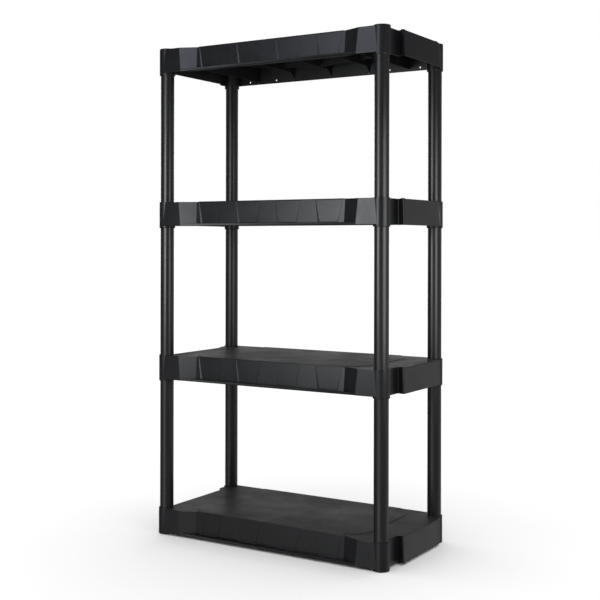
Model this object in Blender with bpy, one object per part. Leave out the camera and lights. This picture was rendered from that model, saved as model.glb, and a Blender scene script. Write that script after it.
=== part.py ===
"""Four-tier resin shelving unit: four moulded tray shelves on twelve push-fit tube posts.

Metres, +Z up. The open front faces -Y, the side tongue faces +X. The floor is z = 0 and the
origin is at the centre of the overall box.
"""

import math

import bmesh
import bpy
from mathutils import Vector

# Overall
TIERS = 4
PITCH = 0.3842          # deck to deck
SHELF_H = 0.0652        # length of a socket collar
POST_X, POST_Y = 0.304, 0.141

# Posts and sockets
POST_R = 0.0169
POST_WALL = 0.0024
COLLAR_R = 0.0198
BORE_R = 0.0173         # a loose push fit round the post
STOP_LOW, STOP_HIGH = 0.0285, 0.0345    # web that both posts butt against
STOP_HOLE_R = 0.0095
END_GAP = 0.0004
SIDES = 20
WELD = 0.000001         # joins the doubled points that a cut can leave

# Tray
DECK_TOP = 0.0646
DECK_T = 0.0028
APRON_BOTTOM = 0.0045
LEFT_BOTTOM, REAR_BOTTOM = 0.0068, 0.0090    # the skirt is shorter on these two sides
WALL = 0.0024
DRAFT = 0.0016          # how far the skirt flares from the deck to its bottom edge
RIM_H = 0.0062
FRONT_SHOULDER = 0.1594
FRONT_RECESS = 0.1413
SHOULDER_X = 0.2536     # where the flat front shoulder turns into the slanted face
RECESS_X = 0.2110       # where the slanted face meets the recessed front
REAR = 0.1594
SIDE_RIGHT = 0.3132
TONGUE = 0.3293
TONGUE_FRONT, TONGUE_REAR = 0.0830, 0.1012
TONGUE_UNDERCUT = 0.0058
TONGUE_JOIN = 0.0060
SIDE_LEFT = 0.3155
GROOVE = 0.3020
GROOVE_REAR, GROOVE_TAPER = 0.0850, 0.0165    # the groove runs forward to the front collar
COLLAR_FLAT = 0.0080    # how far the front and rear faces stop short of a post's axis
COLLAR_SIDE = 0.0175    # the same for the side faces

# Raised middle of the deck, with rounded corners
RAISE = 0.0012
RAISED_X, RAISED_FRONT, RAISED_REAR = 0.2470, 0.1245, 0.1390
RAISED_NECK = 0.2055
CORNER_Y = 0.0500

# Front relief: wide-top panels sunk between narrow-top ones
PANEL_PITCH = 0.1120
PANEL_TOP, PANEL_BOTTOM = 0.0700, 0.0480
PANEL_DEPTH = 0.0012
PANEL_LOW, PANEL_HIGH = 0.0126, 0.0622

# Underside ribs
RIB_T = 0.0022
RIB_PITCH = 0.1125
DEEP_RIB_Z = 0.0150     # the two outer cross ribs
ARCH_RIB_Z = 0.0310     # the three inner cross ribs, at mid-span
ARCH_FOOT, ARCH_RUN = 0.0095, 0.0235
LONG_RIB_Y = 0.0980
LONG_RIB_MID, LONG_RIB_END = 0.0300, 0.0520

# Fixing holes in the rear skirt
HOLE_R = 0.0024
HOLE_X = (0.1705, 0.2555)
HOLE_Z = 0.0170

# Top caps
CAP_R = 0.0193
CAP_FLANGE = 0.0012
CAP_PLUG_R = 0.0169
CAP_PLUG = 0.0140
CAP_WALL = 0.0022
CAP_GAP = 0.0002

# The tongue makes the moulding lopsided, so the row's X = 0 is the middle of its whole width
SHIFT_X = (POST_X + COLLAR_R - TONGUE - 2 * DRAFT) / 2

CORNERS = {
    "front_left": (-1, -1),
    "front_right": (1, -1),
    "rear_left": (-1, 1),
    "rear_right": (1, 1),
}


def clear_scene():
    for obj in list(bpy.data.objects):
        bpy.data.objects.remove(obj)
    for mesh in list(bpy.data.meshes):
        bpy.data.meshes.remove(mesh)


def material(name, colour, roughness, metallic=0.0):
    made = bpy.data.materials.new(name)
    made.use_nodes = True
    shader = made.node_tree.nodes["Principled BSDF"]
    shader.inputs["Base Color"].default_value = (*colour, 1.0)
    shader.inputs["Roughness"].default_value = roughness
    shader.inputs["Metallic"].default_value = metallic
    made.diffuse_color = (*colour, 1.0)
    return made


def add_object(name, bm):
    bmesh.ops.recalc_face_normals(bm, faces=bm.faces[:])
    mesh = bpy.data.meshes.new(name)
    bm.to_mesh(mesh)
    bm.free()
    obj = bpy.data.objects.new(name, mesh)
    bpy.context.scene.collection.objects.link(obj)
    return obj


def loft(name, sections):
    """A closed solid through sections of equal length, each a list of (x, y, z)."""
    bm = bmesh.new()
    rings = [[bm.verts.new(point) for point in section] for section in sections]
    count = len(rings[0])
    for low, high in zip(rings, rings[1:]):
        for i in range(count):
            j = (i + 1) % count
            bm.faces.new((low[i], low[j], high[j], high[i]))
    bm.faces.new(rings[0][::-1])
    bm.faces.new(rings[-1])
    return add_object(name, bm)


def at(points, z):
    return [(x, y, z) for x, y in points]


def lathe(name, profile, centre=(0.0, 0.0), closed=False, sides=SIDES):
    """Turns (radius, z) points round a vertical axis. A closed profile makes a tube."""
    bm = bmesh.new()
    rings = []
    for radius, z in profile:
        if radius == 0.0:
            rings.append([bm.verts.new((centre[0], centre[1], z))])
            continue
        rings.append([
            bm.verts.new((
                centre[0] + radius * math.cos(2 * math.pi * i / sides),
                centre[1] + radius * math.sin(2 * math.pi * i / sides),
                z,
            ))
            for i in range(sides)
        ])
    pairs = list(zip(rings, rings[1:]))
    if closed:
        pairs.append((rings[-1], rings[0]))
    for low, high in pairs:
        for i in range(sides):
            j = (i + 1) % sides
            if len(low) == 1:
                bm.faces.new((low[0], high[j], high[i]))
            elif len(high) == 1:
                bm.faces.new((low[i], low[j], high[0]))
            else:
                bm.faces.new((low[i], low[j], high[j], high[i]))
    return add_object(name, bm)


def boolean(target, other, operation):
    """Applies one exact Boolean to target and removes the other object."""
    modifier = target.modifiers.new(operation, "BOOLEAN")
    modifier.operation = operation
    modifier.solver = "EXACT"
    modifier.object = other
    bpy.context.view_layer.update()
    graph = bpy.context.evaluated_depsgraph_get()
    result = bpy.data.meshes.new_from_object(target.evaluated_get(graph))
    bm = bmesh.new()
    bm.from_mesh(result)
    bmesh.ops.remove_doubles(bm, verts=bm.verts[:], dist=WELD)
    bm.to_mesh(result)
    bm.free()
    target.modifiers.clear()
    old = target.data
    target.data = result
    bpy.data.meshes.remove(old)
    mesh = other.data
    bpy.data.objects.remove(other)
    bpy.data.meshes.remove(mesh)


def inset(points, distance):
    """The anticlockwise polygon moved inwards by distance, corner by corner."""
    moved = []
    count = len(points)
    for i in range(count):
        here = Vector(points[i])
        back = (here - Vector(points[i - 1])).normalized()
        ahead = (Vector(points[(i + 1) % count]) - here).normalized()
        n0, n1 = Vector((-back.y, back.x)), Vector((-ahead.y, ahead.x))
        bisector = n0 + n1
        moved.append(tuple(here + bisector * (distance / (1.0 + n0.dot(n1)))))
    return moved


def outline(flare):
    """The tray's plan, anticlockwise from the front-left post, flared outwards by so much."""
    shoulder = FRONT_SHOULDER + flare
    recess = FRONT_RECESS + 3.0 * flare
    turn, foot = SHOULDER_X - 3.8 * flare, RECESS_X - 0.6 * flare
    near, far = POST_X - COLLAR_FLAT, POST_Y - COLLAR_SIDE
    right, tongue = SIDE_RIGHT + flare, TONGUE + 2.0 * flare
    left, groove, rear = SIDE_LEFT + flare, GROOVE + flare, REAR + flare
    tongue_front = TONGUE_FRONT + flare
    join_x, join_y = POST_X + COLLAR_R - 0.0010, POST_Y - TONGUE_JOIN
    return [
        (-near, -shoulder), (-turn, -shoulder), (-foot, -recess),
        (foot, -recess), (turn, -shoulder), (near, -shoulder),
        (POST_X, -POST_Y), (right, -far), (right, TONGUE_UNDERCUT - tongue_front),
        (tongue, -tongue_front), (tongue, TONGUE_REAR), (join_x, join_y), (POST_X, POST_Y),
        (near, rear), (-near, rear),
        (-POST_X, POST_Y), (-left, far), (-left, GROOVE_REAR + GROOVE_TAPER),
        (-groove, GROOVE_REAR), (-groove, COLLAR_SIDE / 2 - POST_Y), (-POST_X, -POST_Y),
    ]


def raised_outline():
    """The raised middle of the deck, anticlockwise from the right end of its front edge."""
    reach = RAISED_X - RAISED_NECK
    quarter = [
        (math.sin(math.radians(a)), math.cos(math.radians(a))) for a in range(0, 91, 18)
    ]
    right = [(RAISED_NECK, -FRONT_RECESS + 0.0003)]
    right += [
        (RAISED_NECK + reach * s, CORNER_Y - RAISED_FRONT - CORNER_Y * c) for s, c in quarter
    ]
    right += [
        (RAISED_NECK + reach * s, RAISED_REAR - CORNER_Y + CORNER_Y * c)
        for s, c in quarter[::-1]
    ]
    right += [(RAISED_NECK, REAR - 0.0003)]
    return right + [(-x, y) for x, y in right[::-1]]


def slab_x(name, x, profile, thickness=RIB_T):
    """A cross rib: a (y, z) profile with a thickness along X, centred on x."""
    low = [(x - thickness / 2, y, z) for y, z in profile]
    high = [(x + thickness / 2, y, z) for y, z in profile]
    return loft(name, [low, high])


def slab_y(name, y, profile, thickness=RIB_T):
    """A long rib: an (x, z) profile with a thickness along Y, centred on y."""
    low = [(x, y - thickness / 2, z) for x, z in profile]
    high = [(x, y + thickness / 2, z) for x, z in profile]
    return loft(name, [low, high])


def skirt_y(outer, z, steep=1.0):
    """Where a flared face of the skirt stands at height z."""
    share = (DECK_TOP - z) / (DECK_TOP - APRON_BOTTOM)
    return outer + steep * DRAFT * share


def cross_rib_profile(x):
    """(y, z) points of the rib at x, ending inside the front and rear skirts."""
    top = DECK_TOP - DECK_T / 2
    bite = WALL / 2
    if abs(x) > 1.5 * RIB_PITCH:
        slope = (FRONT_SHOULDER - FRONT_RECESS) / (SHOULDER_X - RECESS_X)
        front = FRONT_RECESS + (abs(x) - RECESS_X) * slope
        return [
            (bite - front, top), (bite - front - DRAFT, DEEP_RIB_Z),
            (skirt_y(REAR, DEEP_RIB_Z) - bite, DEEP_RIB_Z), (REAR - bite, top),
        ]
    front = skirt_y(FRONT_RECESS, ARCH_FOOT, 3.0) - bite
    rear = skirt_y(REAR, ARCH_FOOT) - bite
    rise = ARCH_RIB_Z - ARCH_FOOT
    arc = [
        (math.cos(math.radians(a)), math.sin(math.radians(a))) for a in range(0, 91, 15)
    ]
    toe = WALL + 0.0010 + ARCH_RUN
    points = [(bite - FRONT_RECESS, top), (-front, ARCH_FOOT)]
    points += [(toe - front - ARCH_RUN * c, ARCH_FOOT + rise * s) for c, s in arc]
    points += [(rear - toe + ARCH_RUN * c, ARCH_FOOT + rise * s) for c, s in arc[::-1]]
    points += [(rear, ARCH_FOOT), (REAR - bite, top)]
    return points


def long_rib_profile(y):
    """(x, z) points of a rib that is deepest at the middle of the tray."""
    top = DECK_TOP - DECK_T / 2
    left = -(GROOVE - WALL / 2)
    right = (TONGUE if y > 0 else SIDE_RIGHT) - WALL / 2
    low = [(left, LONG_RIB_END), (0.0, LONG_RIB_MID), (right, LONG_RIB_END)]
    return [(left, top)] + low + [(right, top)]


def panel_cutter(x, z_low=PANEL_LOW, z_high=PANEL_HIGH):
    """A trapezoid, wide end up, that sinks one panel into the flared front skirt."""
    sections = []
    for z, width in ((z_low, PANEL_BOTTOM), (z_high, PANEL_TOP)):
        face = skirt_y(FRONT_RECESS, z, 3.0)
        inner, outer = -(face - PANEL_DEPTH), -(face + 0.006)
        sections.append([
            (x - width / 2, outer, z), (x + width / 2, outer, z),
            (x + width / 2, inner, z), (x - width / 2, inner, z),
        ])
    return loft("panel_cutter", sections)


def box(name, x0, x1, y0, y1, z0, z1):
    corners = [(x0, y0), (x1, y0), (x1, y1), (x0, y1)]
    return loft(name, [at(corners, z0), at(corners, z1)])


def shelf_mesh():
    """One moulding, with z = 0 at the bottom of its socket collars."""
    body = loft("shelf_body", [
        at(outline(DRAFT), APRON_BOTTOM), at(outline(0.0), DECK_TOP),
    ])
    middle = raised_outline()
    boolean(body, loft("raised", [
        at(middle, DECK_TOP - DECK_T / 2),
        at(middle, DECK_TOP + RAISE / 2), at(inset(middle, 0.0005), DECK_TOP + RAISE),
    ]), "UNION")
    rim_x, rim_out = SHOULDER_X - 0.0040, FRONT_SHOULDER + DRAFT
    boolean(body, box(
        "rim", -rim_x, rim_x, -rim_out, -(FRONT_RECESS + DRAFT),
        APRON_BOTTOM, APRON_BOTTOM + RIM_H,
    ), "UNION")
    below, ceiling = APRON_BOTTOM - 0.002, DECK_TOP - DECK_T
    over = (DECK_TOP - below) / (DECK_TOP - APRON_BOTTOM)
    under = (DECK_TOP - ceiling) / (DECK_TOP - APRON_BOTTOM)
    boolean(body, loft("pocket", [
        at(inset(outline(DRAFT * over), WALL), below),
        at(inset(outline(DRAFT * under), WALL), ceiling),
    ]), "DIFFERENCE")
    for i in (-2, -1, 0, 1, 2):
        boolean(body, slab_x(
            "cross_rib", i * RIB_PITCH, cross_rib_profile(i * RIB_PITCH),
        ), "UNION")
    for y in (-LONG_RIB_Y, LONG_RIB_Y):
        boolean(body, slab_y("long_rib", y, long_rib_profile(y)), "UNION")
    clear_x, clear_y = POST_X - COLLAR_R / 2, POST_Y - COLLAR_R / 2
    boolean(body, box(
        "rear_trim", -clear_x, clear_x, POST_Y, REAR + 0.010, 0.0, REAR_BOTTOM,
    ), "DIFFERENCE")
    boolean(body, box(
        "left_trim", -(SIDE_LEFT + 0.010), -(GROOVE - 0.012), -clear_y, clear_y,
        0.0, LEFT_BOTTOM,
    ), "DIFFERENCE")
    for sx, sy in CORNERS.values():
        centre = (sx * POST_X, sy * POST_Y)
        boolean(body, lathe("collar", [
            (0.0, 0.0), (COLLAR_R - 0.0007, 0.0), (COLLAR_R, 0.0018),
            (COLLAR_R, SHELF_H), (0.0, SHELF_H),
        ], centre), "UNION")
        boolean(body, lathe("bore", [
            (0.0, -0.002), (BORE_R, -0.002), (BORE_R, STOP_LOW),
            (STOP_HOLE_R, STOP_LOW), (STOP_HOLE_R, STOP_HIGH),
            (BORE_R, STOP_HIGH), (BORE_R, SHELF_H + 0.002), (0.0, SHELF_H + 0.002),
        ], centre), "DIFFERENCE")
    for i in (-1.5, -0.5, 0.5, 1.5):
        boolean(body, panel_cutter(i * PANEL_PITCH), "DIFFERENCE")
    ring = [(math.cos(math.radians(a)), math.sin(math.radians(a))) for a in range(0, 360, 36)]
    for x in HOLE_X:
        for sx in (-1, 1):
            boolean(body, loft("drill", [
                [(sx * x + HOLE_R * c, y, HOLE_Z + HOLE_R * s) for c, s in ring]
                for y in (REAR - 0.006, REAR + 0.006)
            ]), "DIFFERENCE")
    mesh = body.data
    bpy.data.objects.remove(body)
    return mesh


def shade(mesh, degrees=35.0):
    """Rounds the shading of every edge flatter than this angle, and keeps the rest crisp."""
    mesh.shade_smooth()
    bm = bmesh.new()
    bm.from_mesh(mesh)
    limit = math.radians(degrees)
    for edge in bm.edges:
        if len(edge.link_faces) == 2:
            edge.smooth = edge.calc_face_angle(0.0) < limit
    bm.to_mesh(mesh)
    bm.free()


def place(name, mesh, location, mat):
    obj = bpy.data.objects.new(name, mesh)
    obj.location = (location[0] + SHIFT_X, location[1], location[2])
    bpy.context.scene.collection.objects.link(obj)
    if mat.name not in mesh.materials:
        mesh.materials.append(mat)
    return obj


def post_mesh():
    """A tube that butts against the webs of the sockets above and below it."""
    length = PITCH - (STOP_HIGH - STOP_LOW) - 2 * END_GAP
    inner = POST_R - POST_WALL
    tube = lathe("post", [
        (inner, 0.0), (POST_R, 0.0), (POST_R, length), (inner, length),
    ], closed=True)
    mesh = tube.data
    bpy.data.objects.remove(tube)
    return mesh


def cap_mesh():
    """A push-in cap: a thin flange on the collar and a hollow plug in the socket."""
    bore = CAP_PLUG_R - CAP_WALL
    cap = lathe("cap", [
        (0.0, -0.0014), (bore, -0.0014), (bore, -CAP_PLUG), (CAP_PLUG_R, -CAP_PLUG),
        (CAP_PLUG_R, 0.0), (CAP_R, 0.0), (CAP_R, CAP_FLANGE - 0.0006),
        (CAP_R - 0.0008, CAP_FLANGE), (0.0, CAP_FLANGE),
    ])
    mesh = cap.data
    bpy.data.objects.remove(cap)
    return mesh


def build():
    clear_scene()
    shelf_black = material("shelf_black_resin", (0.022, 0.022, 0.024), 0.48)
    post_black = material("post_black_resin", (0.016, 0.016, 0.018), 0.38)
    cap_black = material("cap_black_resin", (0.018, 0.018, 0.020), 0.42)
    shelf = shelf_mesh()
    shade(shelf)
    for tier in range(TIERS):
        place(f"shelf_{tier + 1}", shelf, (0.0, 0.0, tier * PITCH), shelf_black)
    post = post_mesh()
    shade(post)
    for tier in range(TIERS - 1):
        for corner, (sx, sy) in CORNERS.items():
            base = tier * PITCH + STOP_HIGH + END_GAP
            place(f"post_{tier + 1}_{corner}", post, (sx * POST_X, sy * POST_Y, base), post_black)
    cap = cap_mesh()
    shade(cap)
    seat = (TIERS - 1) * PITCH + SHELF_H + CAP_GAP
    for corner, (sx, sy) in CORNERS.items():
        place(f"cap_{corner}", cap, (sx * POST_X, sy * POST_Y, seat), cap_black)


build()
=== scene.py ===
"""Looks for the four-tier resin shelving unit.

Each CAD node is replaced by a finished moulding of the same size, in grained black resin:
trays with rounded skirt edges, softened relief and moulding marks, tubes with softened ends,
and caps with a shallow dish.
"""

import math

import bmesh
import bpy
from mathutils import Euler, Matrix, Vector


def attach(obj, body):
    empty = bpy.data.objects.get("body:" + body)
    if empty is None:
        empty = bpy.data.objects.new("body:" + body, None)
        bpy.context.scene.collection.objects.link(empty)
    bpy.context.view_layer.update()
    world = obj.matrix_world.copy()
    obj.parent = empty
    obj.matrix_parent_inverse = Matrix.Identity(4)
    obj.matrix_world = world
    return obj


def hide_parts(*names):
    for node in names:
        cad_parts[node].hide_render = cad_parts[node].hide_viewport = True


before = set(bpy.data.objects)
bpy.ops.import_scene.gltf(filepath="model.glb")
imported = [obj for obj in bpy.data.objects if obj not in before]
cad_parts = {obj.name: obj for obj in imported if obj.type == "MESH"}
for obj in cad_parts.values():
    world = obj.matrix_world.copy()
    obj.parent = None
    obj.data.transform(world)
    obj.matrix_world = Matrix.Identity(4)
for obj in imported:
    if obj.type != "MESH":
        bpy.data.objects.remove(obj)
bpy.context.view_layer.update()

# ---------------------------------------------------------------- dimensions, as in the CAD part
TIERS = 4
PITCH = 0.3842
SHELF_H = 0.0652
POST_X, POST_Y = 0.304, 0.141
POST_R, POST_WALL = 0.0169, 0.0024
COLLAR_R, BORE_R = 0.0198, 0.0173
STOP_LOW, STOP_HIGH, STOP_HOLE_R, END_GAP = 0.0285, 0.0345, 0.0095, 0.0004
DECK_TOP, DECK_T = 0.0646, 0.0028
APRON_BOTTOM, LEFT_BOTTOM, REAR_BOTTOM = 0.0045, 0.0068, 0.0090
WALL, DRAFT, RIM_H = 0.0024, 0.0016, 0.0062
RECESS_FLARE, TURN_FLARE, FOOT_FLARE, TONGUE_FLARE = 3.0, 3.8, 0.6, 2.0  # in drafts
FRONT_SHOULDER, FRONT_RECESS = 0.1594, 0.1413
SHOULDER_X, RECESS_X = 0.2536, 0.2110
REAR, SIDE_RIGHT, SIDE_LEFT = 0.1594, 0.3132, 0.3155
TONGUE, TONGUE_FRONT, TONGUE_REAR = 0.3293, 0.0830, 0.1012
TONGUE_UNDERCUT, TONGUE_JOIN = 0.0058, 0.0060
GROOVE, GROOVE_REAR, GROOVE_TAPER = 0.3020, 0.0850, 0.0165
COLLAR_FLAT, COLLAR_SIDE = 0.0080, 0.0175
RAISED_X, RAISED_FRONT, RAISED_REAR, RAISED_NECK = 0.2470, 0.1245, 0.1390, 0.2055
CORNER_Y = 0.0500
PANEL_PITCH, PANEL_TOP, PANEL_BOTTOM = 0.1120, 0.0700, 0.0480
PANEL_LOW, PANEL_HIGH = 0.0126, 0.0622
RIB_T, RIB_PITCH = 0.0022, 0.1125
DEEP_RIB_Z, ARCH_RIB_Z, ARCH_FOOT, ARCH_RUN, ARCH_TOE = 0.0150, 0.0310, 0.0095, 0.0235, 0.0010
LONG_RIB_Y, LONG_RIB_MID, LONG_RIB_END = 0.0980, 0.0300, 0.0520
HOLE_R, HOLE_X, HOLE_Z = 0.0024, (0.1705, 0.2555), 0.0170
CAP_R, CAP_FLANGE, CAP_PLUG_R, CAP_PLUG, CAP_WALL, CAP_GAP = (
    0.0193, 0.0012, 0.0169, 0.0140, 0.0022, 0.0002)
SHIFT_X = (POST_X + COLLAR_R - TONGUE - TONGUE_FLARE * DRAFT) / 2  # centres the box on x = 0

CORNERS = {
    "front_left": (-1, -1),
    "front_right": (1, -1),
    "rear_left": (-1, 1),
    "rear_right": (1, 1),
}

# ---------------------------------------------------------------- shape of the finished surface
SIDES, HOLE_SIDES, PIN_SIDES = 60, 20, 16  # round a collar, a small hole and a boss
LIP = 0.0012                            # radius between the deck and the skirt
EDGE = 0.0016                           # radius of the skirt's bottom edge
EDGE_INSIDE = 0.0005                    # bevel on the inside of that edge
FRONT_LEAN, TONGUE_LEAN = 4.0, 5.5      # lean of the skirt's corners at the collars, in drafts
RAISE = 0.0009                          # height of the deck's raised middle
RAISED_GAP = 0.0006                     # from its ends to the skirt's faces
SINK_LOW, SINK_HIGH = 0.0013, 0.0005    # how far the panels are sunk at their ends
SLOPES = (2.75, 1.4)                    # width of a panel's left and right slopes, in depths
RIM_LOW_R, RIM_HIGH_R = 0.0028, 0.0010  # radii of the rim's bottom and top edges
RIM_BEHIND, RIM_SHORT = 0.00025, 0.0051  # from the shoulders' face and ends to the rim's
RIM_END_Y, RIM_END_X = 0.0027, 0.0136   # from the shoulder's corner to the rim's slanted ends
COLLAR_FOOT = ((0.0014, 0.0), (0.0007, 0.0002), (0.0002, 0.0008), (0.0, 0.0018))
COLLAR_TOP = ((0.0, 0.0006), (0.0002, 0.0002), (0.0006, 0.0))
PIN_R, PIN_STAND = 0.0022, 0.0006       # ejector bosses on the ribs
PIN_Y = (-0.052, -0.006, 0.046, 0.095)
PAD_X, PAD_Y, PAD_H = 0.0075, 0.0110, 0.0012  # low pads at the tongue's ends
PAD_R, PAD_SOFT = 0.0022, 0.0004        # their corners and their top edges
PAD_SIDE, PAD_FRONT, PAD_REAR = 0.0014, 0.0075, 0.0030  # from the tongue's side and ends
GATE_X, GATE_Y, GATE_R, GATE_DEPTH = 0.2793, 0.0270, 0.0018, 0.0006  # mark of the moulding gate
TONGUE_BITE = 0.0010                    # how far the tongue's face runs into the rear collar
CLEAR = 0.002                           # how far a turned cutter runs past a face
PANEL_CLEAR = 0.006                     # how far a panel's or hole's cutter does


# ---------------------------------------------------------------- mesh helpers
WELD = 0.000001                         # points this close after a Boolean are one
MOST_REACH, LEAST_REACH = 0.45, 0.00004  # a rounded corner's share of a side, and its least


def add_object(name, bm):
    bmesh.ops.recalc_face_normals(bm, faces=bm.faces[:])
    mesh = bpy.data.meshes.new(name)
    bm.to_mesh(mesh)
    bm.free()
    obj = bpy.data.objects.new(name, mesh)
    bpy.context.scene.collection.objects.link(obj)
    return obj


def add_loft(bm, sections):
    """Adds a closed solid through sections of equal length, each a list of (x, y, z)."""
    rings = [[bm.verts.new(point) for point in section] for section in sections]
    count = len(rings[0])
    for low, high in zip(rings, rings[1:]):
        for i in range(count):
            j = (i + 1) % count
            bm.faces.new((low[i], low[j], high[j], high[i]))
    bm.faces.new(rings[0][::-1])
    bm.faces.new(rings[-1])


def loft(name, sections):
    bm = bmesh.new()
    add_loft(bm, sections)
    return add_object(name, bm)


def lofts(name, many):
    """Several separate solids in one object, to be joined or cut in one Boolean."""
    bm = bmesh.new()
    for sections in many:
        add_loft(bm, sections)
    return add_object(name, bm)


def add_lathe(bm, profile, centre, closed, sides):
    rings = []
    for radius, z in profile:
        if radius == 0.0:
            rings.append([bm.verts.new((centre[0], centre[1], z))])
            continue
        rings.append([
            bm.verts.new((
                centre[0] + radius * math.cos(2 * math.pi * i / sides),
                centre[1] + radius * math.sin(2 * math.pi * i / sides),
                z,
            ))
            for i in range(sides)
        ])
    pairs = list(zip(rings, rings[1:]))
    if closed:
        pairs.append((rings[-1], rings[0]))
    for low, high in pairs:
        for i in range(sides):
            j = (i + 1) % sides
            if len(low) == 1:
                bm.faces.new((low[0], high[j], high[i]))
            elif len(high) == 1:
                bm.faces.new((low[i], low[j], high[0]))
            else:
                bm.faces.new((low[i], low[j], high[j], high[i]))


def lathe(name, profile, centres=((0.0, 0.0),), closed=False, sides=SIDES):
    bm = bmesh.new()
    for centre in centres:
        add_lathe(bm, profile, centre, closed, sides)
    return add_object(name, bm)


def boolean(target, other, operation):
    modifier = target.modifiers.new(operation, "BOOLEAN")
    modifier.operation = operation
    modifier.solver = "EXACT"
    modifier.object = other
    bpy.context.view_layer.update()
    graph = bpy.context.evaluated_depsgraph_get()
    result = bpy.data.meshes.new_from_object(target.evaluated_get(graph))
    bm = bmesh.new()
    bm.from_mesh(result)
    bmesh.ops.remove_doubles(bm, verts=bm.verts[:], dist=WELD)
    bm.to_mesh(result)
    bm.free()
    target.modifiers.clear()
    old = target.data
    target.data = result
    bpy.data.meshes.remove(old)
    mesh = other.data
    bpy.data.objects.remove(other)
    bpy.data.meshes.remove(mesh)


def arc(radius, steps, start=0.0, end=90.0):
    """(inwards, upwards) steps round an edge's curve, from start to end degrees."""
    made = []
    for i in range(steps + 1):
        a = math.radians(start + (end - start) * i / steps)
        made.append((radius * (1.0 - math.cos(a)), radius * math.sin(a)))
    return made


def inset(points, distance):
    """The anticlockwise polygon moved inwards by distance, corner by corner."""
    moved = []
    count = len(points)
    for i in range(count):
        here = Vector(points[i])
        back = (here - Vector(points[i - 1])).normalized()
        ahead = (Vector(points[(i + 1) % count]) - here).normalized()
        n0, n1 = Vector((-back.y, back.x)), Vector((-ahead.y, ahead.x))
        bisector = n0 + n1
        moved.append(tuple(here + bisector * (distance / (1.0 + n0.dot(n1)))))
    return moved


def rounded(points, radii, steps=3):
    """Every corner of the polygon turned into a short curve. Radii are per corner."""
    made = []
    count = len(points)
    for i in range(count):
        here = Vector(points[i])
        to_back = Vector(points[i - 1]) - here
        to_next = Vector(points[(i + 1) % count]) - here
        half = to_back.angle(to_next) / 2.0
        most = MOST_REACH * min(to_back.length, to_next.length)
        reach = max(min(radii[i] / math.tan(half), most), LEAST_REACH)
        start = here + to_back.normalized() * reach
        end = here + to_next.normalized() * reach
        for k in range(steps + 1):
            u = k / steps
            made.append(tuple(
                start * (1 - u) ** 2 + here * (2 * u * (1 - u)) + end * u ** 2
            ))
    return made


# ---------------------------------------------------------------- tray
def outline(flare):
    """The tray's plan, anticlockwise from the front-left post, flared outwards by so much."""
    shoulder, recess = FRONT_SHOULDER + flare, FRONT_RECESS + RECESS_FLARE * flare
    turn, foot = SHOULDER_X - TURN_FLARE * flare, RECESS_X - FOOT_FLARE * flare
    near, far = POST_X - COLLAR_FLAT, POST_Y - COLLAR_SIDE
    front_near = near + FRONT_LEAN * flare
    right, tongue = SIDE_RIGHT + flare, TONGUE + TONGUE_FLARE * flare
    tongue_front, tongue_rear = TONGUE_FRONT + flare, TONGUE_REAR + TONGUE_LEAN * flare
    left, groove, rear = SIDE_LEFT + flare, GROOVE + flare, REAR + flare
    join_x, join_y = POST_X + COLLAR_R - TONGUE_BITE, POST_Y - TONGUE_JOIN
    return [
        (-front_near, -shoulder), (-turn, -shoulder), (-foot, -recess),
        (foot, -recess), (turn, -shoulder), (front_near, -shoulder),
        (POST_X, -POST_Y), (right, -far), (right, TONGUE_UNDERCUT - tongue_front),
        (tongue, -tongue_front), (tongue, tongue_rear),
        (join_x, join_y), (POST_X, POST_Y),
        (near, rear), (-near, rear),
        (-POST_X, POST_Y), (-left, far), (-left, GROOVE_REAR + GROOVE_TAPER),
        (-groove, GROOVE_REAR), (-groove, COLLAR_SIDE / 2 - POST_Y), (-POST_X, -POST_Y),
    ]


# Radius of the rounded corners, by their place in outline(). The others are nearly sharp.
CORNER_COUNT, SHARP, LEAST_R = 21, 0.0003, 0.0002
CORNER_R = {
    1: 0.0012, 2: 0.0014, 3: 0.0014, 4: 0.0012,  # shoulders and recess
    8: 0.0022, 9: 0.0046, 10: 0.0040,            # tongue
    17: 0.0030, 18: 0.0030,                      # groove
}
HOLLOW = (2, 3, 8, 18)   # corners that turn inwards
REAR_CORNERS, LEFT_CORNERS = (13, 14), range(15, CORNER_COUNT)
CORNER_STEPS = 3


def bottoms():
    """Height of the skirt's bottom edge at each plan corner."""
    made = [APRON_BOTTOM] * CORNER_COUNT
    for i in REAR_CORNERS:
        made[i] = REAR_BOTTOM
    for i in LEFT_CORNERS:
        made[i] = LEFT_BOTTOM
    return made


def flare_at(z):
    """How far the draft has brought a plain skirt outwards at this height."""
    return DRAFT * ((DECK_TOP - z) / (DECK_TOP - APRON_BOTTOM))


def ring(heights, depth):
    """One plan loop at these corner heights, moved inwards by depth."""
    plan = []
    radii = []
    for i, z in enumerate(heights):
        plan.append(outline(flare_at(z))[i])
        radius = CORNER_R.get(i, SHARP)
        radii.append(radius + depth if i in HOLLOW else max(radius - depth, LEAST_R))
    flat = rounded(inset(plan, depth) if depth else plan, radii, CORNER_STEPS)
    return [(x, y, heights[i // (CORNER_STEPS + 1)]) for i, (x, y) in enumerate(flat)]


def shell_sections():
    """The deck and skirt, from the ceiling down the inside and up the outside."""
    low = bottoms()
    ceiling = [DECK_TOP - DECK_T] * CORNER_COUNT
    sections = [ring(ceiling, WALL)]
    sections.append(ring([z + EDGE_INSIDE for z in low], WALL))
    sections.append(ring(low, WALL - EDGE_INSIDE))
    for out, up in arc(EDGE, 3, 90.0, 0.0):
        sections.append(ring([z + EDGE - up for z in low], out))
    for out, up in arc(LIP, 5):
        sections.append(ring([DECK_TOP - LIP + up] * CORNER_COUNT, out))
    return sections


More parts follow.
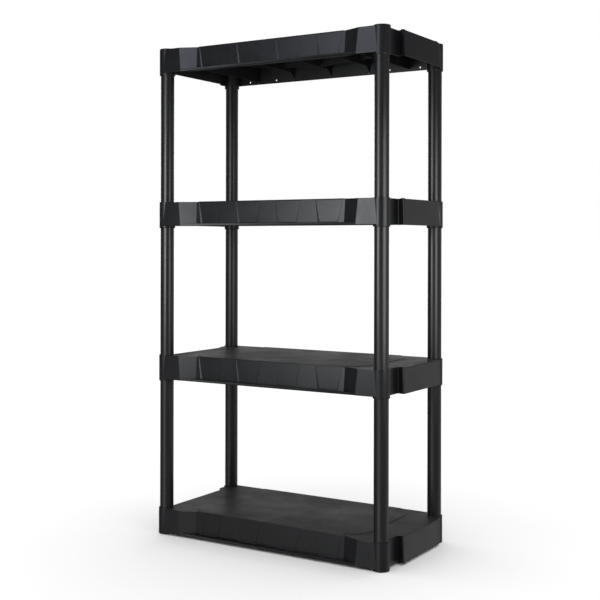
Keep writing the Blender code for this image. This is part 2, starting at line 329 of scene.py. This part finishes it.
def raised_outline():
    """The raised middle of the deck, anticlockwise from the right end of its front edge."""
    reach = RAISED_X - RAISED_NECK
    quarter = [
        (math.sin(math.radians(a)), math.cos(math.radians(a))) for a in range(0, 91, 9)
    ]
    right = [(RAISED_NECK, RAISED_GAP - FRONT_RECESS)]
    right += [
        (RAISED_NECK + reach * s, CORNER_Y - RAISED_FRONT - CORNER_Y * c) for s, c in quarter
    ]
    right += [
        (RAISED_NECK + reach * s, RAISED_REAR - CORNER_Y + CORNER_Y * c)
        for s, c in quarter[::-1]
    ]
    right += [(RAISED_NECK, REAR - RAISED_GAP)]
    return right + [(-x, y) for x, y in right[::-1]]


def at(points, z):
    return [(x, y, z) for x, y in points]


def raised_sections():
    """The raised middle, with an edge that is one quarter round."""
    middle = raised_outline()
    sections = [at(middle, DECK_TOP - DECK_T / 2), at(middle, DECK_TOP)]
    for out, up in arc(RAISE, 3)[1:]:
        sections.append(at(inset(middle, out), DECK_TOP + up))
    return sections


def rim_sections():
    """The ledge that closes the recess at the bottom, flush with the shoulders."""
    bite = WALL / 2
    face, wide = FRONT_SHOULDER + DRAFT - RIM_BEHIND, SHOULDER_X - RIM_SHORT
    end, end_x = FRONT_SHOULDER - RIM_END_Y, SHOULDER_X - RIM_END_X
    back, back_x = FRONT_RECESS + RECESS_FLARE * DRAFT - bite, RECESS_X - bite
    low, high = APRON_BOTTOM + RIM_LOW_R, APRON_BOTTOM + RIM_H - RIM_HIGH_R
    levels = [(low - up, out) for out, up in arc(RIM_LOW_R, 4, 90.0, 0.0)]
    levels += [(high + up, out) for out, up in arc(RIM_HIGH_R, 3)]
    return [
        [(-wide, out - face, z), (wide, out - face, z), (end_x, -end, z),
         (back_x, -back, z), (-back_x, -back, z), (-end_x, -end, z)]
        for z, out in levels
    ]


def slab_x(x, profile):
    """A rib across the tray at x, from its (y, z) points."""
    return [[(x + side * RIB_T / 2, y, z) for y, z in profile] for side in (-1, 1)]


def slab_y(y, profile):
    """A rib along the tray at y, from its (x, z) points."""
    return [[(x, y + side * RIB_T / 2, z) for x, z in profile] for side in (-1, 1)]


def skirt_y(outer, z, steep=1.0):
    """Where the front or rear skirt's face is at this height."""
    return outer + steep * flare_at(z)


def cross_rib_profile(x):
    """(y, z) points of the rib at x, ending inside the front and rear skirts.

    The outer two ribs are deep and straight. The middle three rise in an arch.
    """
    top, bite = DECK_TOP - DECK_T / 2, WALL / 2
    if abs(x) > 1.5 * RIB_PITCH:
        slope = (FRONT_SHOULDER - FRONT_RECESS) / (SHOULDER_X - RECESS_X)
        front = FRONT_RECESS + (abs(x) - RECESS_X) * slope
        return [
            (bite - front, top), (bite - front - DRAFT, DEEP_RIB_Z),
            (skirt_y(REAR, DEEP_RIB_Z) - bite, DEEP_RIB_Z), (REAR - bite, top),
        ]
    front = skirt_y(FRONT_RECESS, ARCH_FOOT, RECESS_FLARE) - bite
    rear = skirt_y(REAR, ARCH_FOOT) - bite
    rise = ARCH_RIB_Z - ARCH_FOOT
    curve = [
        (math.cos(math.radians(a)), math.sin(math.radians(a))) for a in range(0, 91, 6)
    ]
    toe = WALL + ARCH_TOE + ARCH_RUN
    points = [(bite - FRONT_RECESS, top), (-front, ARCH_FOOT)]
    points += [(toe - front - ARCH_RUN * c, ARCH_FOOT + rise * s) for c, s in curve]
    points += [(rear - toe + ARCH_RUN * c, ARCH_FOOT + rise * s) for c, s in curve[::-1]]
    points += [(rear, ARCH_FOOT), (REAR - bite, top)]
    return points


def long_rib_profile(y):
    """(x, z) points of the rib along y, highest at the middle."""
    top, left = DECK_TOP - DECK_T / 2, -(GROOVE - WALL / 2)
    right = (TONGUE if y > 0 else SIDE_RIGHT) - WALL / 2
    low = [(left, LONG_RIB_END), (0.0, LONG_RIB_MID), (right, LONG_RIB_END)]
    return [(left, top)] + low + [(right, top)]


def panel_sections(x):
    """A sunk panel's cutter, wide end up: its floor, its opening and its outer end."""
    def loop(sunk, more):
        made = []
        left, right = SLOPES
        for z, width, sink, order in (
            (PANEL_LOW, PANEL_BOTTOM, SINK_LOW, (-1, 1)),
            (PANEL_HIGH, PANEL_TOP, SINK_HIGH, (1, -1)),
        ):
            open_by = sink * (1.0 - sunk)
            z += order[0] * open_by
            face = skirt_y(FRONT_RECESS, z, RECESS_FLARE) - sink * sunk + more
            for side in order:
                reach = width / 2 + (left if side < 0 else right) * open_by
                made.append((x + side * reach, -face, z))
        return made
    return [loop(1.0, 0.0), loop(0.0, 0.0), loop(0.0, PANEL_CLEAR)]


def circle(x, y, radius, count):
    turn = [2 * math.pi * i / count for i in range(count)]
    return [(x + radius * math.cos(a), y + radius * math.sin(a)) for a in turn]


def drill_sections(x):
    """The cutter of one small hole through the rear skirt."""
    points = circle(x, HOLE_Z, HOLE_R, HOLE_SIDES)
    return [
        [(px, y, pz) for px, pz in points]
        for y in (REAR - PANEL_CLEAR, REAR + PANEL_CLEAR)
    ]


def pins():
    """Ejector bosses that stand across the bottom edges of the arched ribs."""
    made = []
    for i in (-1, 0, 1):
        for y in PIN_Y:
            plan = circle(i * RIB_PITCH, y, PIN_R, PIN_SIDES)
            made.append([at(plan, z) for z in (ARCH_RIB_Z - PIN_STAND, DECK_TOP - DECK_T / 2)])
    return made


def pads():
    """Low pads on the deck at the two ends of the tongue."""
    made = []
    outer, top, bevel = TONGUE - PAD_SIDE, DECK_TOP + PAD_H, PAD_SOFT / 4
    for y in (PAD_FRONT - TONGUE_FRONT, TONGUE_REAR - PAD_REAR):
        corners = [
            (outer - PAD_X, y - PAD_Y / 2), (outer, y - PAD_Y / 2),
            (outer, y + PAD_Y / 2), (outer - PAD_X, y + PAD_Y / 2),
        ]
        plan = rounded(corners, [PAD_R] * 4)
        made.append([
            at(plan, DECK_TOP - DECK_T / 2), at(plan, top - PAD_SOFT),
            at(inset(plan, bevel), top - bevel), at(inset(plan, PAD_SOFT), top),
        ])
    return made


def collar_profile():
    """(radius, z) points of a collar, with a round foot and a soft top edge."""
    foot = [(COLLAR_R - inwards, up) for inwards, up in COLLAR_FOOT]
    top = [(COLLAR_R - inwards, SHELF_H - down) for inwards, down in COLLAR_TOP]
    return [(0.0, 0.0), *foot, *top, (0.0, SHELF_H)]


def bore_profile():
    """(radius, z) points of the two sockets, the drain hole between and the lead-in on top."""
    lead, lead_z = BORE_R + 0.0025, SHELF_H - 0.0005
    return [
        (0.0, -CLEAR), (BORE_R, -CLEAR), (BORE_R, STOP_LOW), (STOP_HOLE_R, STOP_LOW),
        (STOP_HOLE_R, STOP_HIGH), (BORE_R, STOP_HIGH), (BORE_R, lead_z),
        (lead, SHELF_H + CLEAR), (0.0, SHELF_H + CLEAR),
    ]


def gate_profile():
    """(radius, z) points of the cutter for the gate's dimple."""
    bottom, rim, top = DECK_TOP - GATE_DEPTH, DECK_TOP + 0.0002, DECK_TOP + 0.001
    return [(0.0, bottom), (GATE_R / 2, bottom), (GATE_R, rim), (GATE_R, top), (0.0, top)]


def tray_mesh():
    """One moulding, with z = 0 at the bottom of its socket collars."""
    body = loft("tray", shell_sections())
    ribs = [slab_x(i * RIB_PITCH, cross_rib_profile(i * RIB_PITCH)) for i in (-2, -1, 0, 1, 2)]
    long_ribs = [slab_y(y, long_rib_profile(y)) for y in (-LONG_RIB_Y, LONG_RIB_Y)]
    centres = [(sx * POST_X, sy * POST_Y) for sx, sy in CORNERS.values()]
    for part in (
        loft("raised", raised_sections()),
        loft("rim", rim_sections()),
        lofts("cross_ribs", ribs),
        lofts("long_ribs", long_ribs),
        lofts("pins", pins()),
        lofts("pads", pads()),
        lathe("collars", collar_profile(), centres),
    ):
        boolean(body, part, "UNION")
    for cutter in (
        lathe("bores", bore_profile(), centres),
        lofts("panels", [panel_sections(i * PANEL_PITCH) for i in (-1.5, -0.5, 0.5, 1.5)]),
        lofts("holes", [drill_sections(sx * x) for x in HOLE_X for sx in (-1, 1)]),
        lathe("gate", gate_profile(), [(GATE_X, GATE_Y)], sides=HOLE_SIDES),
    ):
        boolean(body, cutter, "DIFFERENCE")
    mesh = body.data
    bpy.data.objects.remove(body)
    return mesh


def on_recess(point):
    """Whether a point of the tray lies on the recessed front, between lip and rim."""
    behind, end, below, above = 0.003, 0.004, 0.003, 0.0008
    return (
        point.y < behind - FRONT_RECESS and abs(point.x) < RECESS_X - end
        and PANEL_LOW - below < point.z < PANEL_HIGH + above
    )


def mark_edges(mesh, degrees=32.0, fine=None, fine_degrees=6.0):
    """Smooth curves and crisp corners. Where fine(point) holds, slight bends are crisp too."""
    mesh.shade_smooth()
    bm = bmesh.new()
    bm.from_mesh(mesh)
    for edge in bm.edges:
        if len(edge.link_faces) == 2:
            middle = (edge.verts[0].co + edge.verts[1].co) / 2
            limit = fine_degrees if fine and fine(middle) else degrees
            edge.smooth = edge.calc_face_angle(0.0) < math.radians(limit)
    bm.to_mesh(mesh)
    bm.free()


def keep_flat(obj):
    """Lets the big flat faces decide the shading at their rounded edges."""
    weigh = obj.modifiers.new("weighted", "WEIGHTED_NORMAL")
    weigh.keep_sharp = True
    weigh.weight = 90


# ---------------------------------------------------------------- materials
class Graph:
    """A small helper that adds and wires shader nodes."""

    def __init__(self, name):
        self.material = bpy.data.materials.new(name)
        self.material.use_nodes = True
        self.tree = self.material.node_tree
        self.shader = self.tree.nodes["Principled BSDF"]
        self.coords = self.tree.nodes.new("ShaderNodeTexCoord")

    def node(self, kind, **settings):
        made = self.tree.nodes.new(kind)
        for key, value in settings.items():
            setattr(made, key, value)
        return made

    def wire(self, out, into):
        self.tree.links.new(out, into)

    def stretched(self, scale):
        mapping = self.node("ShaderNodeMapping")
        mapping.inputs["Scale"].default_value = scale
        self.wire(self.coords.outputs["Object"], mapping.inputs["Vector"])
        return mapping.outputs["Vector"]

    def noise(self, scale, detail, vector=None, roughness=0.5):
        made = self.node("ShaderNodeTexNoise")
        made.inputs["Scale"].default_value = scale
        made.inputs["Detail"].default_value = detail
        made.inputs["Roughness"].default_value = roughness
        self.wire(vector or self.coords.outputs["Object"], made.inputs["Vector"])
        return made.outputs["Fac"]

    def ramp(self, value, low, high, start=0.3, end=0.7):
        made = self.node("ShaderNodeMapRange", interpolation_type="SMOOTHSTEP")
        made.inputs["From Min"].default_value = start
        made.inputs["From Max"].default_value = end
        made.inputs["To Min"].default_value = low
        made.inputs["To Max"].default_value = high
        self.wire(value, made.inputs["Value"])
        return made.outputs["Result"]

    def mix_colours(self, fac, first, second):
        made = self.node("ShaderNodeMix", data_type="RGBA")
        made.inputs["A"].default_value = (*first, 1.0)
        made.inputs["B"].default_value = (*second, 1.0)
        self.wire(fac, made.inputs["Factor"])
        return made.outputs["Result"]

    def maths(self, operation, first, second):
        made = self.node("ShaderNodeMath", operation=operation)
        for socket, value in zip(made.inputs, (first, second)):
            if isinstance(value, float):
                socket.default_value = value
            else:
                self.wire(value, socket)
        return made.outputs["Value"]

    def bump(self, height, distance, under=None):
        made = self.node("ShaderNodeBump")
        made.inputs["Distance"].default_value = distance
        made.inputs["Strength"].default_value = 1.0
        self.wire(height, made.inputs["Height"])
        if under is not None:
            self.wire(under, made.inputs["Normal"])
        return made.outputs["Normal"]


SPECK_SCALE, RUBBED_SCALE, WAVE_SCALE = 240.0, 3.1, 9.0  # the second against the mottle's


def resin(name, dark, light, rough, grain, specular=0.30, mottle=7.0, wave=0.0, streak=None):
    """Black moulded resin.

    dark and light are the two tones of its mottle, rough is the roughness of its smooth and its
    dull patches, and grain is the scale and depth of its fine texture. mottle is the scale of
    the patches, wave the depth of slow unevenness, and streak the stretch of drawn lines.
    """
    smooth, dull = rough
    patches, wear = 0.6, 0.4            # shares of the mottle and of the rubbed spots in sheen
    broad, fleck = 0.75, 0.25           # shares of the mottle and of the specks in tone
    begin, end = 0.35, 0.65             # where a noise starts and stops to count
    g = Graph(name)
    cloud = g.noise(mottle, 4.0, roughness=0.6)
    speck = g.noise(SPECK_SCALE, 2.0)
    tone = g.maths(
        "ADD", g.maths("MULTIPLY", cloud, broad), g.maths("MULTIPLY", speck, fleck))
    g.wire(g.mix_colours(g.ramp(tone, 0.0, 1.0), dark, light), g.shader.inputs["Base Color"])
    rubbed = g.noise(mottle * RUBBED_SCALE, 5.0, roughness=0.65)
    sheen = g.maths(
        "ADD",
        g.ramp(cloud, 0.0, (dull - smooth) * patches, begin, end),
        g.ramp(rubbed, smooth, smooth + (dull - smooth) * wear, begin, end),
    )
    if streak:
        drawn = g.noise(1.0, 2.0, g.stretched(streak))
        sheen = g.maths("ADD", sheen, g.ramp(drawn, -0.02, 0.02))
    g.wire(sheen, g.shader.inputs["Roughness"])
    normal = g.bump(g.noise(grain[0], 3.0, roughness=0.7), grain[1])
    if wave:
        normal = g.bump(g.noise(WAVE_SCALE, 1.0), wave, under=normal)
    g.wire(normal, g.shader.inputs["Normal"])
    g.shader.inputs["Specular IOR Level"].default_value = specular
    return g.material


skirt_resin = resin(
    "skirt_resin", dark=(0.0058, 0.0062, 0.0074), light=(0.0086, 0.0091, 0.0106),
    rough=(0.31, 0.39), grain=(1400.0, 0.000004), specular=0.26, wave=0.00012)
deck_resin = resin(
    "deck_resin", dark=(0.0108, 0.0103, 0.0098), light=(0.0188, 0.0180, 0.0171),
    rough=(0.44, 0.64), grain=(1500.0, 0.000022), specular=0.35, mottle=5.0)
under_resin = resin(
    "under_resin", dark=(0.0100, 0.0102, 0.0106), light=(0.0160, 0.0162, 0.0166),
    rough=(0.42, 0.52), grain=(1900.0, 0.000010), specular=0.18)
post_resin = resin(
    "post_resin", dark=(0.0060, 0.0062, 0.0068), light=(0.0084, 0.0087, 0.0094),
    rough=(0.29, 0.35), grain=(1200.0, 0.000002), specular=0.37, streak=(300.0, 300.0, 3.0))
cap_resin = resin(
    "cap_resin", dark=(0.0064, 0.0067, 0.0076), light=(0.0092, 0.0096, 0.0108),
    rough=(0.34, 0.44), grain=(2400.0, 0.000008))


# ---------------------------------------------------------------- pieces
def piece(name, mesh, location, materials, node):
    """One finished piece that stands for a CAD node. Its place is in its mesh."""
    own = mesh.copy()
    own.name = name
    shift = Vector((location[0] + SHIFT_X, location[1], location[2]))
    for vertex in own.vertices:
        vertex.co += shift
    obj = bpy.data.objects.new(name, own)
    bpy.context.scene.collection.objects.link(obj)
    for made in materials:
        own.materials.append(made)
    keep_flat(obj)
    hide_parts(node)
    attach(obj, "root")


def post_mesh():
    """A tube with softened ends that butts against the webs of two sockets."""
    length = PITCH - (STOP_HIGH - STOP_LOW) - 2 * END_GAP
    inner, soft = POST_R - POST_WALL, 0.0005
    tube = lathe("tube", [
        (inner, soft), (inner + soft, 0.0), (POST_R - soft, 0.0), (POST_R, soft),
        (POST_R, length - soft), (POST_R - soft, length), (inner + soft, length),
        (inner, length - soft),
    ], closed=True)
    mesh = tube.data
    bpy.data.objects.remove(tube)
    return mesh


def cap_mesh():
    """A push-in cap with a soft edge, a shallow dish and a gate mark at its centre."""
    bore, underside = CAP_PLUG_R - CAP_WALL, -0.0014
    soft, bevel, lead = 0.0006, 0.0002, 0.0010
    rim, dish, dish_depth = CAP_R - 0.0040, CAP_R - 0.0046, 0.0003
    gate, gate_foot, gate_depth = 0.0016, 0.0022, 0.0001
    cap = lathe("cap_form", [
        (0.0, underside), (bore, underside), (bore, -CAP_PLUG), (CAP_PLUG_R - soft, -CAP_PLUG),
        (CAP_PLUG_R, lead - CAP_PLUG), (CAP_PLUG_R, 0.0), (CAP_R, 0.0),
        (CAP_R, CAP_FLANGE - soft), (CAP_R - bevel, CAP_FLANGE - bevel),
        (CAP_R - 0.0007, CAP_FLANGE), (rim, CAP_FLANGE), (dish, CAP_FLANGE - dish_depth),
        (gate_foot, CAP_FLANGE - dish_depth), (gate, CAP_FLANGE - gate_depth),
        (0.0, CAP_FLANGE - gate_depth),
    ])
    mesh = cap.data
    bpy.data.objects.remove(cap)
    return mesh


def paint_tray(mesh):
    """Gives the deck's top, the downward faces inside and all the rest their own finish."""
    skirt, deck, under = 0, 1, 2
    level, lowest_rib = 0.9, 0.010
    for polygon in mesh.polygons:
        polygon.material_index = skirt
        if polygon.normal.z > level and polygon.center.z > DECK_TOP - LIP:
            polygon.material_index = deck
        elif polygon.normal.z < -level and polygon.center.z > lowest_rib:
            polygon.material_index = under


tray = tray_mesh()
mark_edges(tray, fine=on_recess)
paint_tray(tray)
for tier in range(TIERS):
    piece(f"tray_{tier + 1}", tray, (0.0, 0.0, tier * PITCH),
          (skirt_resin, deck_resin, under_resin), f"shelf_{tier + 1}")

post = post_mesh()
mark_edges(post)
for tier in range(TIERS - 1):
    for corner, (sx, sy) in CORNERS.items():
        base = tier * PITCH + STOP_HIGH + END_GAP
        piece(f"tube_{tier + 1}_{corner}", post, (sx * POST_X, sy * POST_Y, base),
              (post_resin,), f"post_{tier + 1}_{corner}")

cap = cap_mesh()
mark_edges(cap)
seat = (TIERS - 1) * PITCH + SHELF_H + CAP_GAP
for corner, (sx, sy) in CORNERS.items():
    piece(f"top_{corner}", cap, (sx * POST_X, sy * POST_Y, seat), (cap_resin,),
          f"cap_{corner}")


# ---------------------------------------------------------------- floor, light, camera
FLOOR_HALF = 400.0
FLOOR_DROP = 0.0005     # keeps the floor just clear of the feet
FLOOR_TONES = (0.94, 0.94, 0.94), (0.96, 0.96, 0.96)


def stage():
    """A plain white floor, so wide that its edge is beyond the horizon."""
    bm = bmesh.new()
    bmesh.ops.create_grid(bm, x_segments=1, y_segments=1, size=FLOOR_HALF)
    floor = add_object("floor", bm)
    floor.location.z = -FLOOR_DROP
    g = Graph("floor_paint")
    g.wire(g.mix_colours(g.noise(1.5, 2.0), *FLOOR_TONES), g.shader.inputs["Base Color"])
    g.shader.inputs["Roughness"].default_value = 0.9
    g.shader.inputs["Specular IOR Level"].default_value = 0.1
    floor.data.materials.append(g.material)
    floor.visible_glossy = False


def softbox(name, centre, aim, size, watts, colour=(1.0, 1.0, 1.0)):
    """A soft lamp that is seen only in the sheen. The even light of the sky does the rest."""
    light = bpy.data.lights.new(name, "AREA")
    light.shape = "RECTANGLE"
    light.size, light.size_y = size
    light.energy = watts
    light.color = colour
    obj = bpy.data.objects.new(name, light)
    obj.location = centre
    obj.rotation_euler = (Vector(aim) - Vector(centre)).to_track_quat("-Z", "Y").to_euler()
    obj.visible_camera = False
    obj.visible_diffuse = False
    bpy.context.scene.collection.objects.link(obj)


BACKDROP, SKY = 1.0, 1.17   # what the camera sees, and what lights every matt surface
GLOSS = 0.10                # what the resin's sheen sees round it
GLOSS_TOP = 0.9             # added overhead, above these sines of the elevation
TOP_FULL, TOP_NONE = 0.86, 0.66
HORIZON_FADE = 0.03         # half the fade at a glow's bottom, as a sine

# Brighter zones that only the sheen sees, in degrees. direction is from the front by the right.
GLOWS = (
    {   # right and back, for the right-hand faces
        "direction": 132.0, "half": 28.0, "blur": 25.0,
        "bottom": -60.0, "top": 5.0, "soft": 5.0, "more": 0.53,
    },
    {   # behind, at eye level, for the decks seen at a slant
        "direction": 219.0, "half": 20.0, "blur": 16.0,
        "bottom": 0.0, "top": 4.5, "soft": 6.0, "more": 3.30,
    },
    {   # in front and low, for the lower trays' skirts
        "direction": 352.0, "half": 18.0, "blur": 12.0,
        "bottom": -34.0, "top": -6.0, "soft": 5.0, "more": 1.90,
    },
    {   # the floor in front, for everything that faces the camera
        "direction": 20.0, "half": 70.0, "blur": 25.0,
        "bottom": -90.0, "top": -1.7, "soft": 3.4, "more": 0.24,
    },
)


def studio():
    """Three soft lamps, and a white surrounding that is tamer where the sheen looks."""
    softbox("front_box", centre=(-0.284, -1.25, 0.83), aim=(-0.05, 0.0, 0.75),
            size=(0.38, 0.66), watts=11.5, colour=(0.96, 1.0, 1.02))
    softbox("high_box", centre=(-0.17, -1.25, 1.62), aim=(0.0, 0.0, 1.15),
            size=(0.62, 0.45), watts=5.4, colour=(0.86, 0.93, 1.12))
    softbox("right_box", centre=(0.886, -0.33, 0.73), aim=(0.0, 0.0, 0.70),
            size=(0.45, 0.62), watts=5.2)
    world = bpy.data.worlds.new("studio")
    world.use_nodes = True
    world.cycles.sampling_method = "NONE"
    tree = world.node_tree

    def node(kind, inputs, **settings):
        made = tree.nodes.new(kind)
        for key, value in settings.items():
            setattr(made, key, value)
        for socket, value in inputs.items():
            if isinstance(value, (int, float, tuple)):
                made.inputs[socket].default_value = value
            else:
                tree.links.new(value, made.inputs[socket])
        return made

    def fade(value, full, none):
        """1 where value has reached full, 0 where it is still at none."""
        return node("ShaderNodeMapRange", {
            "Value": value, "From Min": none, "From Max": full,
        }, interpolation_type="SMOOTHSTEP").outputs["Result"]

    def maths(operation, *values):
        return node("ShaderNodeMath", dict(enumerate(values)),
                    operation=operation).outputs["Value"]

    way = node("ShaderNodeTexCoord", {}).outputs["Generated"]
    height = node("ShaderNodeSeparateXYZ", {"Vector": way}).outputs["Z"]
    extra = maths("MULTIPLY", fade(height, TOP_FULL, TOP_NONE), GLOSS_TOP)
    for glow in GLOWS:
        turn, half, blur = (math.radians(glow[key]) for key in ("direction", "half", "blur"))
        bottom, top, soft = (math.radians(glow[key]) for key in ("bottom", "top", "soft"))
        facing = node("ShaderNodeVectorMath", {
            0: way, 1: (math.sin(turn), -math.cos(turn), 0.0),
        }, operation="DOT_PRODUCT").outputs["Value"]
        near = fade(facing, math.cos(half), math.cos(half + blur))
        low = fade(height, math.sin(top), math.sin(top + soft))
        foot = math.sin(bottom)
        above = fade(height, foot + HORIZON_FADE, foot - HORIZON_FADE)
        lit = maths("MULTIPLY", maths("MULTIPLY", near, low), above)
        extra = maths("MAXIMUM", extra, maths("MULTIPLY", lit, glow["more"]))
    sheen = maths("ADD", extra, GLOSS)
    paths = node("ShaderNodeLightPath", {})
    strength = node("ShaderNodeMix", {
        "Factor": paths.outputs["Is Diffuse Ray"], "A": sheen, "B": SKY,
    }).outputs["Result"]
    strength = node("ShaderNodeMix", {
        "Factor": paths.outputs["Is Camera Ray"], "A": strength, "B": BACKDROP,
    }).outputs["Result"]
    sky = tree.nodes["Background"]
    tree.links.new(strength, sky.inputs["Strength"])
    sky.inputs["Color"].default_value = (1.0, 1.0, 1.0, 1.0)
    bpy.context.scene.world = world
    bpy.context.scene.view_settings.view_transform = "Standard"


CAMERA_AT = (1.43685, -2.3354, 0.7319)
CAMERA_TURN, CAMERA_ROLL = 31.63, 0.0019    # degrees from the front, and radians
SENSOR, LENS, SHIFT_Y = 36.0, 66.12, -0.0953
CLIP_END = 1000.0                           # past the floor's edge


def camera():
    """A level camera at mid height, in front and to the right."""
    data = bpy.data.cameras.new("camera")
    data.sensor_width, data.lens, data.shift_y = SENSOR, LENS, SHIFT_Y
    data.clip_end = CLIP_END
    obj = bpy.data.objects.new("camera", data)
    obj.location = CAMERA_AT
    level = Euler((math.radians(90.0), 0.0, math.radians(CAMERA_TURN))).to_matrix()
    obj.rotation_euler = (level @ Matrix.Rotation(CAMERA_ROLL, 3, "Z")).to_euler()
    bpy.context.scene.collection.objects.link(obj)
    bpy.context.scene.camera = obj


stage()
studio()
camera()
